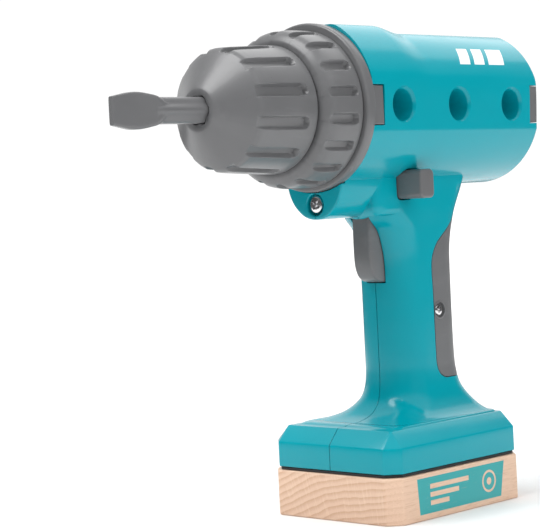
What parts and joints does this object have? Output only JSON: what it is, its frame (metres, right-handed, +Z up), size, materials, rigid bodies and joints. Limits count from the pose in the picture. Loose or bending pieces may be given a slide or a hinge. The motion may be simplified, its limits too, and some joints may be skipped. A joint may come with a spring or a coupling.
{
  "type": "toy power drill",
  "caption": "Battery toy drill: teal two-half body, grey turning chuck with flat driver bit, grip ring, trigger, direction button and ribbed grip door, on a pale wooden foot block.",
  "frame": {"origin": "centre of the wooden block's underside, where the drill stands", "axes": "+X towards the rear of the drill (the bit points along -X), -Y towards its left side, +Z up"},
  "size_m": [0.1839, 0.0576, 0.1692],
  "materials": {
    "teal_plastic": "glossy injection-moulded shell",
    "grey_plastic": "satin injection-moulded",
    "pale_plastic": "uncoloured gear and case plastic",
    "black_plastic": "matt black moulding",
    "beech": "fine-sanded pale hardwood with a printed panel on its left side",
    "steel": "plated steel",
    "screw_chrome": "bright plated screw",
    "brass": "turned brass",
    "cell_sleeve": "printed shrink sleeve, no text"
  },
  "bodies": {
    "housing": {"body_shell_left": "teal_plastic", "body_shell_right": "teal_plastic", "front_bezel": "grey_plastic", "rear_band": "grey_plastic", "spindle_bush": "brass", "gearbox_case": "pale_plastic", "gearbox_cover": "pale_plastic", "lay_axle": "steel", "motor_can": "steel", "motor_end_cap": "pale_plastic", "trigger_switch": "black_plastic", "changeover_switch": "black_plastic", "battery_tray": "black_plastic", "battery_cell_left": "cell_sleeve", "battery_cell_right": "cell_sleeve", "contact_spring_left": "steel", "contact_spring_right": "steel", "contact_plate_bottom": "steel", "contact_plate_bridge": "steel", "contact_plate_top": "steel", "housing_screw": "screw_chrome", "wood_block": "beech", "base_plate": "black_plastic", "base_screw_1": "screw_chrome", "base_screw_2": "screw_chrome", "base_screw_3": "screw_chrome", "base_screw_4": "screw_chrome"},
    "chuck": {"chuck_sleeve": "grey_plastic", "spindle": "steel", "output_gear": "pale_plastic"},
    "bit": {"driver_bit": "grey_plastic"},
    "ring": {"torque_ring": "grey_plastic"},
    "lay_shaft": {"lay_gear": "pale_plastic"},
    "rotor": {"motor_rotor": "steel", "motor_pinion": "brass"},
    "trigger_unit": {"trigger": "grey_plastic", "trigger_spring": "steel"},
    "button": {"direction_button": "grey_plastic"},
    "grip_door": {"battery_door": "grey_plastic", "battery_door_screw": "screw_chrome"}
  },
  "joints": [
    {"name": "chuck_spin", "type": "hinge", "parent": "housing", "child": "chuck", "pos_m": [-0.07, 0, 0.14], "axis": [1, 0, 0], "continuous": true},
    {"name": "lay_gear_spin", "type": "hinge", "parent": "housing", "child": "lay_shaft", "pos_m": [-0.018, 0, 0.152], "axis": [1, 0, 0], "continuous": true},
    {"name": "motor_spin", "type": "hinge", "parent": "housing", "child": "rotor", "pos_m": [0.01, 0, 0.14], "axis": [1, 0, 0], "continuous": true},
    {"name": "bit_pull", "type": "slide", "parent": "chuck", "child": "bit", "axis": [-1, 0, 0], "range_m": [0, 0.022]},
    {"name": "ring_turn", "type": "hinge", "parent": "housing", "child": "ring", "pos_m": [-0.0476, 0, 0.14], "axis": [1, 0, 0], "range_deg": [-120, 120]},
    {"name": "trigger_press", "type": "slide", "parent": "housing", "child": "trigger_unit", "axis": [1, 0, 0], "range_m": [0, 0.004], "stiffness_N_per_m": 600, "springref_m": -0.002, "deforming": ["trigger_spring"]},
    {"name": "button_push", "type": "slide", "parent": "housing", "child": "button", "axis": [0, 1, 0], "range_m": [0, 0.008]},
    {"name": "door_pull", "type": "slide", "parent": "housing", "child": "grip_door", "axis": [1, 0, 0], "range_m": [0, 0.03]}
  ],
  "couplings": [
    {"joint": "lay_gear_spin", "follows": "chuck_spin", "ratio": -3},
    {"joint": "motor_spin", "follows": "chuck_spin", "ratio": 9}
  ]
}
